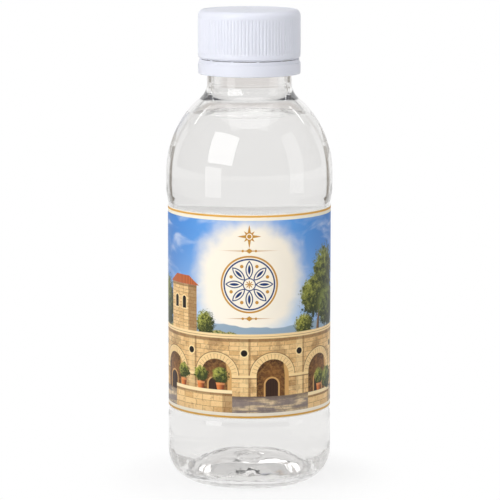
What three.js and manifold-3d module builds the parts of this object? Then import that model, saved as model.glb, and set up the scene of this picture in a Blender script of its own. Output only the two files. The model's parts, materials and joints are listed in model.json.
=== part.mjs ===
// A small clear bottle of holy water with a white screw closure that shows if it has been opened.
// Six pieces: the blown bottle, the water in it, the label wrapped round it, the screw cap, the
// sealing liner inside the cap, and the tamper band that the cap leaves behind on the neck.
// Millimetres, +Z up. The origin is the middle of the base, on the surface that the bottle
// stands on, and the front of the label faces -Y.

import * as THREE from "three";
import { mergeVertices } from "three/addons/utils/BufferGeometryUtils.js";
import Module from "manifold-3d";

const wasm = await Module();
wasm.setup();

// Body of the bottle, from the base upwards
const BASE_RADIUS = 24.15; // outside, at the lower bumper
const HEEL_RADIUS = 9; // the quarter round from the bumper down to the standing ring
const STAND_WIDTH = 1.6; // flat ring that touches the table
const PUSH_UP = 6.2; // rise of the domed underside inside the standing ring
const PUSH_UP_POWER = 3; // 2 would be a parabola, and more is flatter in the middle
const GATE_RADIUS = 2.4; // moulding boss in the middle of the underside
const GATE_DEPTH = 0.5;
const LOWER_BUMPER_HEIGHT = 11;
const LOWER_EASE_HEIGHT = 1.5; // slope from the bumper in to the label panel
const PANEL_RECESS = 0.22; // how far the label panel lies inside the lower bumper
const UPPER_EASE_HEIGHT = 3; // slope from the label panel out to the shoulder
const UPPER_BUMPER_HEIGHT = 5.4;
const SHOULDER_FLARE = 0.4; // how far the upper bumper stands outside the lower one
const SHOULDER_ARC = 28.4; // radius of the round shoulder, seen from the side
const NECK_FILLET = 4; // hollow round from the shoulder into the neck

// Neck and its finish, which the closure fits
const NECK_RADIUS = 12.47;
const NECK_SHOWN = 3.94; // plain neck between the shoulder and the tamper band
const BEAD_HEIGHT = 1.7; // ring that holds the tamper band down
const BEAD_SLOPE = 0.9; // height of the bead's sloping top, which lets the band snap on
const LIP_ROUND = 0.5;

// Walls of the bottle
const BASE_WALL = 4; // thick, as the parison's end spreads least
const BODY_WALL = 0.85;
const NECK_WALL = 1.6;

// Contents
const HEADSPACE = 7.7; // from the water up to where the neck becomes straight
const WATER_CLEARANCE = 0.2;

// Label
const LABEL_HEIGHT = 59.9;
const LABEL_MARGIN = 1.1; // plain panel above and below the label
const LABEL_THICKNESS = 0.1;
const GLUE_THICKNESS = 0.05;
const LAP_LENGTH = 6; // of the seam, where the end is glued over the start
const LAP_PHASE = 112.5; // degrees from the front to the middle of the seam, towards +X
const LAP_RAMP_LENGTH = 3; // in which the end climbs onto the start

// Cap
const THREAD_ROOM = 1.28; // between the neck and the inside of the skirt
const CAP_WALL = 1.3;
const CAP_HEIGHT = 14.2;
const CAP_TOP_WALL = 1.45;
const CAP_EDGE_WIDTH = 1.45; // the rounded edge, measured inwards
const CAP_EDGE_HEIGHT = 1.9; // and downwards
const INNER_CORNER = 0.6; // round between the skirt and the top, inside
const GROOVE_COUNT = 90; // finger grooves, which leave the grip ribs standing
const GROOVE_WIDTH = 0.5;
const GROOVE_FLOOR_WIDTH = 0.18;
const GROOVE_DEPTH = 0.3;
const COLLAR_HEIGHT = 1.55; // smooth ring under the ribs
const SLIT_LAND_HEIGHT = 0.42; // narrower ring on each side of the slit
const SLIT_LAND_STEP = 0.4;

// Sealing liner
const LINER_THICKNESS = 0.8;
const LINER_CLEARANCE = 0.1; // above and below
const LINER_EDGE_CLEARANCE = 0.35;

// Tamper band and the slit that parts it from the cap
const SLIT_HEIGHT = 0.75;
const BAND_HEIGHT = 3.85;
const BAND_WALL = 0.95;
const BAND_CHAMFER = 0.35;
const BEAD_CLEARANCE = 0.3; // between the band and the bead, outwards and downwards
const BRIDGE_COUNT = 12; // thin bridges that break when the cap is first turned
const BRIDGE_PHASE = 10; // degrees from the front to the nearest bridge, towards +X
const BRIDGE_FOOT_WIDTH = 0.95;
const BRIDGE_TIP_WIDTH = 0.55;
const BRIDGE_DEPTH = 0.5;
const BREAK_GAP = 0.05; // between a bridge and the cap
const FLAP_COUNT = 12; // folded tongues that catch under the bead
const FLAP_WIDTH = 4.6;
const FLAP_THICKNESS = 0.4;
const FLAP_CLEARANCE = 0.4; // between a tongue and the neck
const FLAP_ROOT_HEIGHT = 0.75; // of the solid ring at the foot of the band

// Fineness of the round surfaces
const BODY_SEGMENTS = 48;
const LINER_SEGMENTS = 48;
const HEEL_STEPS = 5;
const SHOULDER_STEPS = 8;
const FILLET_STEPS = 3;
const DOME_STEPS = 4;
const EDGE_STEPS = 4;
const LIP_STEPS = 2;

// Radii that follow from the sizes above
const STAND_OUTER = BASE_RADIUS - HEEL_RADIUS;
const STAND_INNER = STAND_OUTER - STAND_WIDTH;
const PANEL_RADIUS = BASE_RADIUS - PANEL_RECESS;
const SHOULDER_RADIUS = BASE_RADIUS + SHOULDER_FLARE;
const CAP_BORE = NECK_RADIUS + THREAD_ROOM;
const CAP_RADIUS = CAP_BORE + CAP_WALL;
const SLIT_LAND_RADIUS = CAP_RADIUS - SLIT_LAND_STEP;
const BAND_BORE = CAP_RADIUS - BAND_WALL;
const BEAD_RADIUS = BAND_BORE - BEAD_CLEARANCE;

// Heights of the body
const LOWER_BUMPER_TOP = HEEL_RADIUS + LOWER_BUMPER_HEIGHT;
const PANEL_BOTTOM = LOWER_BUMPER_TOP + LOWER_EASE_HEIGHT;
const LABEL_BOTTOM = PANEL_BOTTOM + LABEL_MARGIN;
const PANEL_TOP = LABEL_BOTTOM + LABEL_HEIGHT + LABEL_MARGIN;
const UPPER_BUMPER_BOTTOM = PANEL_TOP + UPPER_EASE_HEIGHT;
const SHOULDER_BOTTOM = UPPER_BUMPER_BOTTOM + UPPER_BUMPER_HEIGHT;

// The shoulder is an arc about a point near the axis, and the fillet that carries it into the neck
// touches both that arc and the neck.
const HEEL_CENTRE = new THREE.Vector2(STAND_OUTER, HEEL_RADIUS);
const SHOULDER_CENTRE = new THREE.Vector2(SHOULDER_RADIUS - SHOULDER_ARC, SHOULDER_BOTTOM);
const FILLET_REACH = NECK_RADIUS + NECK_FILLET - SHOULDER_CENTRE.x;
const FILLET_CENTRE = new THREE.Vector2(
  NECK_RADIUS + NECK_FILLET,
  SHOULDER_BOTTOM + Math.sqrt((SHOULDER_ARC + NECK_FILLET) ** 2 - FILLET_REACH ** 2),
);
const SHOULDER_END = Math.asin((FILLET_CENTRE.y - SHOULDER_BOTTOM) / (SHOULDER_ARC + NECK_FILLET));
const NECK_BOTTOM = FILLET_CENTRE.y;
const WATER_LEVEL = NECK_BOTTOM - HEADSPACE;

// Heights of the closure, above the foot of the tamper band
const CLOSURE_BOTTOM = NECK_BOTTOM + NECK_SHOWN;
const CAP_SEAT = BAND_HEIGHT + SLIT_HEIGHT;
const CAP_CEILING = CAP_HEIGHT - CAP_TOP_WALL;
const LINER_SEAT = CAP_SEAT + CAP_CEILING - LINER_CLEARANCE - LINER_THICKNESS;
const BEAD_BOTTOM = BAND_HEIGHT - BEAD_HEIGHT;
const FLAP_TIP = BEAD_BOTTOM - BEAD_CLEARANCE;

const LIP_TOP = CLOSURE_BOTTOM + LINER_SEAT - LINER_CLEARANCE;

const quarter = Math.PI / 2;
const mix = THREE.MathUtils.lerp;
const point = (radius, height) => new THREE.Vector2(radius, height);

// An arc in the plane of a profile, from one angle to another, whose radius may change steadily
// from a first to a last value on the way.
function arc(centre, first, last, from, to, steps) {
  return Array.from({ length: steps + 1 }, (_, i) => {
    const radius = mix(first, last, i / steps);
    const angle = mix(from, to, i / steps);
    return point(centre.x + radius * Math.cos(angle), centre.y + radius * Math.sin(angle));
  });
}

// A flat outline made a plate of some thickness, which lies on Z = 0.
function plate(outline, thickness, curveSegments = 1) {
  return new THREE.ExtrudeGeometry(outline, {
    depth: thickness,
    bevelEnabled: false,
    curveSegments,
  });
}

// Turns a closed profile about the Z axis. The profile runs up the outside and down the inside.
function revolve(profile, segments) {
  return new THREE.LatheGeometry(profile, segments).rotateX(quarter);
}

// A geometry as a solid that can be joined and cut, and back.
function solidOf(geometry) {
  const bare = new THREE.BufferGeometry();
  bare.setAttribute("position", geometry.getAttribute("position"));
  bare.setIndex(geometry.getIndex());
  const merged = mergeVertices(bare);
  return new wasm.Manifold(
    new wasm.Mesh({
      numProp: 3,
      vertProperties: merged.getAttribute("position").array,
      triVerts: new Uint32Array(merged.getIndex().array),
    }),
  );
}

function geometryOf(solid) {
  const mesh = solid.getMesh();
  const geometry = new THREE.BufferGeometry();
  geometry.setAttribute("position", new THREE.BufferAttribute(mesh.vertProperties, 3));
  geometry.setIndex(new THREE.BufferAttribute(mesh.triVerts, 1));
  geometry.computeVertexNormals();
  return geometry;
}

// One skin of the blown body, from the middle of the base up to a given angle of the shoulder's
// arc. The outside is set in by nothing, the inside by the walls, and the water a little more.
function bodySkin(base, side, shoulderEnd) {
  const floor = Array.from({ length: DOME_STEPS + 1 }, (_, i) => {
    const radius = mix(GATE_RADIUS, STAND_INNER, i / DOME_STEPS);
    return point(radius, PUSH_UP * (1 - (radius / STAND_INNER) ** PUSH_UP_POWER) + base);
  });
  const shoulderArc = SHOULDER_ARC - side;
  return [
    point(0, floor[0].y),
    ...floor,
    ...arc(HEEL_CENTRE, HEEL_RADIUS - base, HEEL_RADIUS - side, -quarter, 0, HEEL_STEPS),
    point(BASE_RADIUS - side, LOWER_BUMPER_TOP),
    point(PANEL_RADIUS - side, PANEL_BOTTOM),
    point(PANEL_RADIUS - side, PANEL_TOP),
    point(SHOULDER_RADIUS - side, UPPER_BUMPER_BOTTOM),
    ...arc(SHOULDER_CENTRE, shoulderArc, shoulderArc, 0, shoulderEnd, SHOULDER_STEPS),
  ];
}

// The hollow round from the end of the shoulder's arc to the straight neck.
function neckFillet(side, neck) {
  const from = Math.PI + SHOULDER_END;
  return arc(
    FILLET_CENTRE,
    NECK_FILLET + side,
    NECK_FILLET + neck,
    from,
    Math.PI,
    FILLET_STEPS,
  ).slice(1);
}

// The bottle: the outer skin with the gate boss, the bead and the lip, then the inner skin back down.
function bottleGeometry() {
  const outside = bodySkin(0, 0, SHOULDER_END);
  const gateFoot = outside[0].y - GATE_DEPTH;
  outside.splice(0, 1, point(0, gateFoot), point(GATE_RADIUS - GATE_DEPTH, gateFoot));
  const beadBottom = CLOSURE_BOTTOM + BEAD_BOTTOM;
  const beadTop = beadBottom + BEAD_HEIGHT;
  const bead = [
    point(NECK_RADIUS, beadBottom),
    point(BEAD_RADIUS, beadBottom),
    point(BEAD_RADIUS, beadTop - BEAD_SLOPE),
    point(NECK_RADIUS, beadTop),
  ];
  const bore = NECK_RADIUS - NECK_WALL;
  const lipHeight = LIP_TOP - LIP_ROUND;
  const lipRound = (middle, from) =>
    arc(point(middle, lipHeight), LIP_ROUND, LIP_ROUND, from, from + quarter, LIP_STEPS);
  const lip = [
    ...lipRound(NECK_RADIUS - LIP_ROUND, 0),
    ...lipRound(bore + LIP_ROUND, quarter),
  ];
  const inside = [
    ...bodySkin(BASE_WALL, BODY_WALL, SHOULDER_END),
    ...neckFillet(BODY_WALL, NECK_WALL),
  ];
  const profile = [...outside, ...neckFillet(0, 0), ...bead, ...lip, ...inside.reverse()];
  return revolve(profile, BODY_SEGMENTS);
}

// The water fills the inner skin up to its level.
function waterGeometry() {
  const side = BODY_WALL + WATER_CLEARANCE;
  const levelAngle = Math.asin((WATER_LEVEL - SHOULDER_BOTTOM) / (SHOULDER_ARC - side));
  const skin = bodySkin(BASE_WALL + WATER_CLEARANCE, side, levelAngle);
  return revolve([...skin, point(0, WATER_LEVEL)], BODY_SEGMENTS);
}

// The label is one strip of paper bent round the panel, seen here from above: it starts at the
// seam, goes once round, climbs onto its own start and is glued down there.
function labelGeometry() {
  const inner = PANEL_RADIUS + GLUE_THICKNESS;
  const climb = LABEL_THICKNESS + GLUE_THICKNESS;
  const lap = LAP_LENGTH / inner;
  const ramp = LAP_RAMP_LENGTH / inner;
  const turn = 2 * Math.PI;
  const start = THREE.MathUtils.degToRad(LAP_PHASE) - quarter - lap / 2;
  const step = turn / BODY_SEGMENTS;
  const round = Array.from({ length: BODY_SEGMENTS }, (_, i) => i * step).filter(
    (angle) => angle < turn - ramp,
  );
  const angles = [...round, turn - ramp, turn, turn + lap / 2, turn + lap];
  const edge = (offset) =>
    angles.map((angle) => {
      const rise = climb * THREE.MathUtils.clamp((angle - turn + ramp) / ramp, 0, 1);
      const radius = inner + rise + offset;
      return point(radius * Math.cos(start + angle), radius * Math.sin(start + angle));
    });
  const outline = new THREE.Shape([...edge(LABEL_THICKNESS), ...edge(0).reverse()]);
  return plate(outline, LABEL_HEIGHT).translate(0, 0, LABEL_BOTTOM);
}

// A ring with tapered notches in its bore, one over each finger groove. Cutting it away from the
// cap leaves the grip ribs between the grooves.
function grooveCutter() {
  const pitch = (2 * Math.PI) / GROOVE_COUNT;
  const clearOf = CAP_RADIUS + GROOVE_DEPTH;
  const flare = (GROOVE_WIDTH - GROOVE_FLOOR_WIDTH) / 2 / GROOVE_DEPTH;
  const mouth = GROOVE_FLOOR_WIDTH / 2 + flare * (clearOf - (CAP_RADIUS - GROOVE_DEPTH));
  const corners = [];
  for (let i = 0; i < GROOVE_COUNT; i++) {
    const middle = (i + 1 / 2) * pitch;
    const across = new THREE.Vector2(-Math.sin(middle), Math.cos(middle));
    const outwards = new THREE.Vector2(Math.cos(middle), Math.sin(middle));
    const corner = (radius, aside) =>
      outwards.clone().multiplyScalar(radius).addScaledVector(across, aside);
    corners.push(
      corner(clearOf, -mouth),
      corner(CAP_RADIUS - GROOVE_DEPTH, -GROOVE_FLOOR_WIDTH / 2),
      corner(CAP_RADIUS - GROOVE_DEPTH, GROOVE_FLOOR_WIDTH / 2),
      corner(clearOf, mouth),
    );
  }
  const outside = clearOf + GROOVE_DEPTH;
  const ring = new THREE.Shape().absarc(0, 0, outside, 0, 2 * Math.PI);
  ring.holes.push(new THREE.Path(corners));
  const bottom = SLIT_LAND_HEIGHT + COLLAR_HEIGHT;
  const height = CAP_HEIGHT - CAP_EDGE_HEIGHT - bottom;
  return solidOf(plate(ring, height, GROOVE_COUNT / 2).translate(0, 0, bottom));
}

// The cap, from the foot of its skirt: the narrow land at the slit, the collar, the ribbed grip,
// the rounded edge and the flat top, then the ceiling and the bore.
function capGeometry() {
  const edge = arc(point(0, 0), 1, 1, 0, quarter, EDGE_STEPS).map((unit) =>
    point(
      CAP_RADIUS - CAP_EDGE_WIDTH * (1 - unit.x),
      CAP_HEIGHT - CAP_EDGE_HEIGHT * (1 - unit.y),
    ),
  );
  const cornerCentre = point(CAP_BORE - INNER_CORNER, CAP_CEILING - INNER_CORNER);
  const profile = [
    point(CAP_BORE, 0),
    point(SLIT_LAND_RADIUS, 0),
    point(SLIT_LAND_RADIUS, SLIT_LAND_HEIGHT),
    point(CAP_RADIUS, SLIT_LAND_HEIGHT),
    ...edge,
    point(0, CAP_HEIGHT),
    point(0, CAP_CEILING),
    ...arc(cornerCentre, INNER_CORNER, INNER_CORNER, quarter, 0, LIP_STEPS),
    point(CAP_BORE, 0),
  ];
  return geometryOf(solidOf(revolve(profile, GROOVE_COUNT)).subtract(grooveCutter()));
}

// The liner is a plain disc that the cap presses on the lip.
function linerGeometry() {
  const radius = CAP_BORE - LINER_EDGE_CLEARANCE;
  const profile = [
    point(0, 0),
    point(radius, 0),
    point(radius, LINER_THICKNESS),
    point(0, LINER_THICKNESS),
  ];
  return revolve(profile, LINER_SEGMENTS);
}

// A bridge stands on the top of the band, wide at its foot and thin where it breaks. Its outline
// is drawn as it is seen from outside the band.
function bridge(angle) {
  const height = SLIT_HEIGHT - BREAK_GAP;
  const outline = [
    point(-BRIDGE_FOOT_WIDTH / 2, -SLIT_LAND_HEIGHT / 2),
    point(BRIDGE_FOOT_WIDTH / 2, -SLIT_LAND_HEIGHT / 2),
    point(BRIDGE_FOOT_WIDTH / 2, 0),
    point(BRIDGE_TIP_WIDTH / 2, height),
    point(-BRIDGE_TIP_WIDTH / 2, height),
    point(-BRIDGE_FOOT_WIDTH / 2, 0),
  ];
  const tooth = plate(new THREE.Shape(outline), BRIDGE_DEPTH);
  tooth.rotateX(quarter).rotateZ(quarter);
  tooth.translate(SLIT_LAND_RADIUS - BRIDGE_DEPTH, 0, BAND_HEIGHT);
  return solidOf(tooth.rotateZ(angle));
}

// A tongue leans inwards and up from the foot of the band to just under the bead. Its outline is
// drawn in the plane of the axis, as (distance from the axis, height).
function flap(angle) {
  const tipRadius = NECK_RADIUS + FLAP_CLEARANCE;
  const outline = [
    point(BAND_BORE + BAND_WALL / 2, 0),
    point(BAND_BORE + BAND_WALL / 2, FLAP_ROOT_HEIGHT),
    point(BAND_BORE - FLAP_THICKNESS / 2, FLAP_ROOT_HEIGHT),
    point(tipRadius + FLAP_THICKNESS, FLAP_TIP),
    point(tipRadius, FLAP_TIP),
    point(BAND_BORE - FLAP_THICKNESS, 0),
  ];
  const tongue = plate(new THREE.Shape(outline), FLAP_WIDTH);
  tongue.translate(0, 0, -FLAP_WIDTH / 2).rotateX(quarter);
  return solidOf(tongue.rotateZ(angle));
}

// The tamper band: a plain ring under the slit, with its bridges above and its tongues inside.
function bandGeometry() {
  const shoulder = BAND_HEIGHT - SLIT_LAND_HEIGHT;
  const profile = [
    point(BAND_BORE, 0),
    point(CAP_RADIUS - BAND_CHAMFER, 0),
    point(CAP_RADIUS, BAND_CHAMFER),
    point(CAP_RADIUS, shoulder),
    point(SLIT_LAND_RADIUS, shoulder),
    point(SLIT_LAND_RADIUS, BAND_HEIGHT),
    point(BAND_BORE, BAND_HEIGHT),
    point(BAND_BORE, 0),
  ];
  const front = -quarter + THREE.MathUtils.degToRad(BRIDGE_PHASE);
  const around = (count) =>
    Array.from({ length: count }, (_, i) => front + (2 * Math.PI * i) / count);
  const pieces = [...around(BRIDGE_COUNT).map(bridge), ...around(FLAP_COUNT).map(flap)];
  const ring = solidOf(revolve(profile, BODY_SEGMENTS));
  return geometryOf(pieces.reduce((whole, piece) => whole.add(piece), ring));
}

const clearPlastic = new THREE.MeshStandardMaterial({
  color: 0xf2f4f4,
  roughness: 0.04,
  metalness: 0,
  transparent: true,
  opacity: 0.25,
});
const water = new THREE.MeshStandardMaterial({
  color: 0xf6fafb,
  roughness: 0,
  metalness: 0,
  transparent: true,
  opacity: 0.3,
});
const printedPaper = new THREE.MeshStandardMaterial({
  color: 0xcfb98f,
  roughness: 0.45,
  metalness: 0,
});
const whitePlastic = new THREE.MeshStandardMaterial({
  color: 0xe8eaf5,
  roughness: 0.38,
  metalness: 0,
});
const foamLiner = new THREE.MeshStandardMaterial({
  color: 0xf3f1ea,
  roughness: 0.7,
  metalness: 0,
});

function piece(name, geometry, material, height = 0) {
  const mesh = new THREE.Mesh(geometry, material);
  mesh.name = name;
  mesh.position.z = height;
  return mesh;
}

const bottle = new THREE.Group();
const closure = new THREE.Group();
closure.position.z = CLOSURE_BOTTOM;
closure.add(
  piece("tamper_band", bandGeometry(), whitePlastic),
  piece("cap", capGeometry(), whitePlastic, CAP_SEAT),
  piece("cap_liner", linerGeometry(), foamLiner, LINER_SEAT),
);
bottle.add(
  piece("bottle", bottleGeometry(), clearPlastic),
  piece("water", waterGeometry(), water),
  piece("label", labelGeometry(), printedPaper),
  closure,
);

export default bottle;
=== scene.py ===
import json
import math

import bpy
import mathutils
import numpy as np
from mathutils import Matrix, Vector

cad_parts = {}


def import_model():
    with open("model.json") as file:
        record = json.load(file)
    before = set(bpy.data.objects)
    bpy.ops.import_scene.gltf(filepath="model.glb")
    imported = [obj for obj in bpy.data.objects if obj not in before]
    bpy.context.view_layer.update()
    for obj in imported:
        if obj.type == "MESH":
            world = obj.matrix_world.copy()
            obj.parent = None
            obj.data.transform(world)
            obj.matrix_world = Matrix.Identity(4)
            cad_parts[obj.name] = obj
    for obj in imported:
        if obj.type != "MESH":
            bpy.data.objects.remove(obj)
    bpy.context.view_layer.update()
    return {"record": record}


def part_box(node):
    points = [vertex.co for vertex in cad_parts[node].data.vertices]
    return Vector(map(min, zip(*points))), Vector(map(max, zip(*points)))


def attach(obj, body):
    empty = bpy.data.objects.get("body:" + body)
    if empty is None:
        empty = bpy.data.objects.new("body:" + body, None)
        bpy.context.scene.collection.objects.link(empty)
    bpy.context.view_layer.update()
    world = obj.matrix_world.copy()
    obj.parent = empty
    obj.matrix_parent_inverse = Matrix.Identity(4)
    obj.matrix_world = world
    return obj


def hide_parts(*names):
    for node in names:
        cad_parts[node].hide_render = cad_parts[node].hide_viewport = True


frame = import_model()

MM = 0.001
TURN = 2 * math.pi
QUARTER = math.pi / 2
TINY = 1e-9


# Camera, at the photograph's viewing angle

CAMERA_DISTANCE = 0.850
CAMERA_HEIGHT = 0.1977
CAMERA_ASIDE = 0.0002
CAMERA_DOWN = math.radians(8.632)
SENSOR_WIDTH = 36.0
LENS = 208.84

lens = bpy.data.cameras.new("camera")
lens.sensor_width = SENSOR_WIDTH
lens.lens = LENS
camera = bpy.data.objects.new("camera", lens)
camera.location = (CAMERA_ASIDE, -CAMERA_DISTANCE, CAMERA_HEIGHT)
camera.rotation_euler = (QUARTER - CAMERA_DOWN, 0, 0)
bpy.context.collection.objects.link(camera)
bpy.context.scene.camera = camera


# Sizes that come from the frame

_, bottle_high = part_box("bottle")
_, water_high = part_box("water")
label_low, label_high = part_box("label")
band_low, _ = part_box("tamper_band")
cap_low, cap_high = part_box("cap")
liner_low, liner_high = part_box("cap_liner")
couplings = frame["record"]["behaviour"]["couplings"]

THREAD_LEAD = couplings[0]["ratio"] * TURN
SHOULDER_RADIUS = bottle_high[0]
LIP_TOP = bottle_high[2]
WATER_LEVEL = water_high[2]
LABEL_RADIUS = label_high[0]
LABEL_BOTTOM = label_low[2]
LABEL_TOP = label_high[2]
CAP_RADIUS = -cap_low[1]
CAP_BOTTOM = cap_low[2]
CAP_TOP = cap_high[2]
BAND_BOTTOM = band_low[2]

# Sizes of the bottle

BASE_RADIUS = 24.15 * MM
HEEL_RADIUS = 9 * MM
STAND_WIDTH = 1.6 * MM
STAND_EDGE = 0.8 * MM
PUSH_UP = 6.2 * MM
PUSH_UP_POWER = 3
GATE_RADIUS = 2.4 * MM
GATE_DEPTH = 0.5 * MM
GATE_FOOT = 2.88 * MM
LOWER_BUMPER_HEIGHT = 11 * MM
UPPER_EASE_HEIGHT = 3 * MM
UPPER_BUMPER_HEIGHT = 5.4 * MM
LABEL_MARGIN = 1.1 * MM
PANEL_RECESS = 0.22 * MM
EASE_ROUND = 4 * MM
SHOULDER_ACROSS = 24.3 * MM
SHOULDER_UP = 27 * MM
NECK_FILLET = 6 * MM
NECK_RADIUS = 12.47 * MM
BASE_WALL = 4 * MM
BODY_WALL = 0.85 * MM
NECK_WALL = 1.6 * MM
BEAD_RADIUS = 13.8 * MM
BEAD_HEIGHT = 1.7 * MM
BEAD_ROUND = 0.35 * MM
SLIT_HEIGHT = 0.75 * MM
LIP_ROUND = 0.5 * MM
THREAD_CREST = 13.5 * MM

STAND_OUTER = BASE_RADIUS - HEEL_RADIUS
STAND_INNER = STAND_OUTER - STAND_WIDTH
PANEL_RADIUS = BASE_RADIUS - PANEL_RECESS

# How finely the surfaces are cut

BASE_STEPS = 24
HEEL_STEPS = 28
SHOULDER_STEPS = 40
FILLET_STEPS = 16
MENISCUS_STEPS = 110
LABEL_COLUMNS = 400
LABEL_ROWS = 13
BOTTLE_COLUMNS = 240
GROOVE_COLUMNS = 8
EDGE_STEPS = 16
GRIP_EDGE_STEPS = 10
NECK_SPACING = 0.16 * MM
BODY_SPACING = 1.2 * MM


# Surfaces

def softened(corners, step=5):
    """A profile through (radius, height, rounding) corners: each corner becomes an arc of its
    rounding that touches both of its sides, cut at about every step of degrees, and a rounding
    of 0 leaves it sharp."""
    spots = np.array([c[:2] for c in corners], float)
    path = [spots[:1]]
    for k in range(1, len(corners) - 1):
        rounding = corners[k][2]
        if rounding <= 0:
            path.append(spots[k:k + 1])
            continue
        back, ahead = spots[k - 1] - spots[k], spots[k + 1] - spots[k]
        back, ahead = back / np.hypot(*back), ahead / np.hypot(*ahead)
        half = math.acos(np.clip(back @ ahead, -1, 1)) / 2
        centre = spots[k] + (back + ahead) / np.hypot(*(back + ahead)) * rounding / math.sin(half)
        x, y = spots[k] + back * rounding / math.tan(half) - centre
        sweep = math.pi - 2 * half
        if x * ahead[1] - y * ahead[0] < 0:
            sweep = -sweep
        angles = np.linspace(0, sweep, max(3, round(abs(sweep) / math.radians(step)) + 1))
        cos, sin = np.cos(angles), np.sin(angles)
        path.append(centre + np.c_[x * cos - y * sin, x * sin + y * cos])
    path.append(spots[-1:])
    return np.concatenate(path)


def smooth(share):
    """A share from 0 to 1 that leaves 0 and reaches 1 without a corner."""
    return share * share * (3 - 2 * share)


def round_about(centre, radius, start, end, count):
    """An arc in the profile's plane: centre plus radius times (cos, sin) of the angle. The radius
    may be an array that changes along the arc."""
    angles = np.linspace(start, end, count)
    return np.c_[centre[0] + radius * np.cos(angles), centre[1] + radius * np.sin(angles)]


def closer(path, spacing):
    """The same path with more points, so that none are further apart than the spacing."""
    along = np.r_[0, np.cumsum(np.hypot(*np.diff(path, axis=0).T))]
    wanted = np.union1d(along, np.linspace(0, along[-1], math.ceil(along[-1] / spacing) + 1))
    wanted = wanted[np.r_[True, np.diff(wanted) > spacing / 50]]
    return np.c_[np.interp(wanted, along, path[:, 0]), np.interp(wanted, along, path[:, 1])]


def new_mesh(name, points, corners, per_face, materials, face_slots=None):
    """A mesh object from points (n, 3), face corners in one row, and the corner count of each
    face. It lies at the origin, with its place in its mesh, and is shaded smooth."""
    mesh = bpy.data.meshes.new(name)
    mesh.vertices.add(len(points))
    mesh.vertices.foreach_set("co", np.ascontiguousarray(points, np.float32).ravel())
    mesh.loops.add(len(corners))
    mesh.loops.foreach_set("vertex_index", np.ascontiguousarray(corners, np.int32))
    mesh.polygons.add(len(per_face))
    starts = np.r_[0, np.cumsum(per_face)[:-1]]
    mesh.polygons.foreach_set("loop_start", starts.astype(np.int32))
    mesh.polygons.foreach_set("use_smooth", np.ones(len(per_face), bool))
    for material in materials:
        mesh.materials.append(material)
    if face_slots is not None:
        mesh.polygons.foreach_set("material_index", np.ascontiguousarray(face_slots, np.int32))
    mesh.update(calc_edges=True)
    mesh.validate()
    piece = bpy.data.objects.new(name, mesh)
    bpy.context.collection.objects.link(piece)
    return piece


def strips(low, high):
    """The faces between rows of point numbers and the rows that run beside them."""
    corners = [low[..., :-1], low[..., 1:], high[..., 1:], high[..., :-1]]
    return np.stack(corners, -1).reshape(-1, 4)


def turned(name, stretches, columns, materials, slots, swell=None):
    """A closed surface of revolution: point (i, j) is profile row i turned by the angle of column
    j, with swell(stretch, radii, heights, angles) added to its radius. The profile comes in
    stretches, so that swell can tell them apart and each has its own material slot. A profile
    that starts and ends on the axis gets a point at each pole, and any other closes on itself."""
    profile = np.concatenate(stretches)
    stretch = np.repeat(np.arange(len(stretches)), [len(s) for s in stretches])
    strip_slots = np.array(slots)[stretch]
    poled = profile[0, 0] < TINY and profile[-1, 0] < TINY
    rings = slice(1, -1) if poled else slice(None)
    rows = len(profile[rings])
    angles = np.arange(columns)[None, :] * TURN / columns
    radii, heights = profile[rings, :1], profile[rings, 1:]
    if swell is not None:
        radii = radii + swell(stretch[rings, None], radii, heights, angles)
    radii, heights = np.broadcast_arrays(radii + 0 * angles, heights)
    points = np.stack([radii * np.cos(angles), radii * np.sin(angles), heights], axis=-1)
    points = points.reshape(-1, 3)
    numbers = np.arange(rows * columns).reshape(rows, columns)
    numbers = np.pad(numbers, ((0, 0 if poled else 1), (0, 1)), mode="wrap")
    faces = strips(numbers[:-1], numbers[1:])
    corners, per_face = faces.reshape(-1), np.full(len(faces), 4)
    face_slots = np.repeat(strip_slots[rings][:len(numbers) - 1], columns)
    if poled:
        first, last, poles = numbers[0], numbers[-1], np.full(columns, len(points))
        fans = np.r_[np.c_[poles, first[1:], first[:-1]], np.c_[poles + 1, last[:-1], last[1:]]]
        points = np.concatenate([points, [[0, 0, profile[0, 1]], [0, 0, profile[-1, 1]]]])
        corners = np.r_[corners, fans.reshape(-1)]
        per_face = np.r_[per_face, np.full(len(fans), 3)]
        face_slots = np.r_[face_slots, np.repeat(strip_slots[[0, -1]], columns)]
    return new_mesh(name, points, corners, per_face, materials, face_slots)


# Materials

def math_node(operation, swapped=False):
    """A method that adds one Math node of that operation on a wire and the other value, or on
    the two in the other order."""
    def method(self, *other):
        values = (*other, self) if swapped else (self, *other)
        return self.graph.maths(operation, *values)
    return method


class Wire:
    """One output of a node. Arithmetic on it adds Math nodes, so a pattern reads as a formula."""

    def __init__(self, graph, socket):
        self.graph = graph
        self.socket = socket

    __add__ = math_node("ADD")
    __radd__ = math_node("ADD", swapped=True)
    __sub__ = math_node("SUBTRACT")
    __rsub__ = math_node("SUBTRACT", swapped=True)
    __mul__ = math_node("MULTIPLY")
    __rmul__ = math_node("MULTIPLY", swapped=True)
    __truediv__ = math_node("DIVIDE")
    __rtruediv__ = math_node("DIVIDE", swapped=True)
    __pow__ = math_node("POWER")
    __mod__ = math_node("FLOORED_MODULO")
    __abs__ = math_node("ABSOLUTE")


# The width of a crisp edge in the print, in millimetres

CRISP = 0.12


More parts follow.
